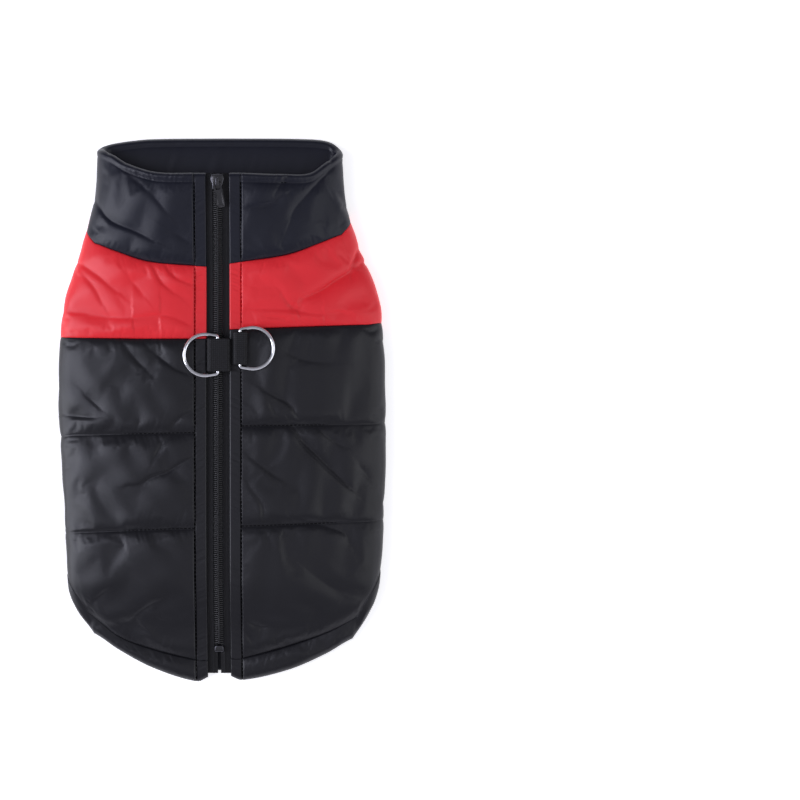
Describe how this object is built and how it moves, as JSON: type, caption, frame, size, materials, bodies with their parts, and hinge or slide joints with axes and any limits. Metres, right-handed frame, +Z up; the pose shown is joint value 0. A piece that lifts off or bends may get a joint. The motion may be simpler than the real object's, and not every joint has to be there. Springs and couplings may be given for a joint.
{
  "type": "dog winter coat",
  "caption": "Quilted dog vest that zips down the back, with a stand collar, contrast yoke, armholes, longer rounded back hem and D-rings on webbing tabs, laid flat.",
  "frame": {"origin": "on the ground under the middle of the coat's outline, as it lies flat on its belly", "axes": "+X towards the coat's right-hand side as seen from above, +Y towards the collar, +Z up, out of the back"},
  "size_m": [0.2359, 0.3922, 0.0371],
  "materials": {
    "black_nylon": "smooth quilted nylon with a soft sheen, black",
    "navy_nylon": "smooth nylon with a soft sheen, near-black navy",
    "red_nylon": "smooth quilted nylon with a soft sheen, red",
    "zip_tape": "matt woven tape, black",
    "zip_coil": "moulded nylon coil, black",
    "zip_metal": "black enamelled zinc, worn bright at the edges",
    "webbing": "ribbed polyester webbing, black",
    "chrome": "polished nickel plate"
  },
  "bodies": {
    "root": {"collar": "navy_nylon", "yoke_left": "red_nylon", "yoke_right": "red_nylon", "back_panel_left": "black_nylon", "back_panel_right": "black_nylon", "belly_panel": "black_nylon", "hem_band": "black_nylon", "arm_hem_red_left": "red_nylon", "arm_hem_red_right": "red_nylon", "arm_hem_black_left": "black_nylon", "arm_hem_black_right": "black_nylon", "zip_tape_left": "zip_tape", "zip_tape_right": "zip_tape", "zip_chain": "zip_coil", "zip_underflap": "navy_nylon", "zip_stop": "zip_metal", "zip_slider": "zip_metal", "ring_tab_left": "webbing", "ring_tab_right": "webbing"},
    "ring_left": {"leash_ring_left": "chrome"},
    "ring_right": {"leash_ring_right": "chrome"},
    "pull_tab": {"zip_pull": "zip_metal"}
  },
  "joints": [
    {"name": "ring_left_swing", "type": "hinge", "parent": "root", "child": "ring_left", "pos_m": [-0.0022, 0.0398, 0.02797], "axis": [0, 1, 0], "range_deg": [0, 105]},
    {"name": "ring_right_swing", "type": "hinge", "parent": "root", "child": "ring_right", "pos_m": [0.0139, 0.0446, 0.02798], "axis": [0, -1, 0], "range_deg": [0, 105]},
    {"name": "pull_tab_flip", "type": "hinge", "parent": "root", "child": "pull_tab", "pos_m": [-0.0022, 0.16233, 0.03463], "axis": [-0.9848, -0.1736, 0], "range_deg": [0, 160]}
  ]
}
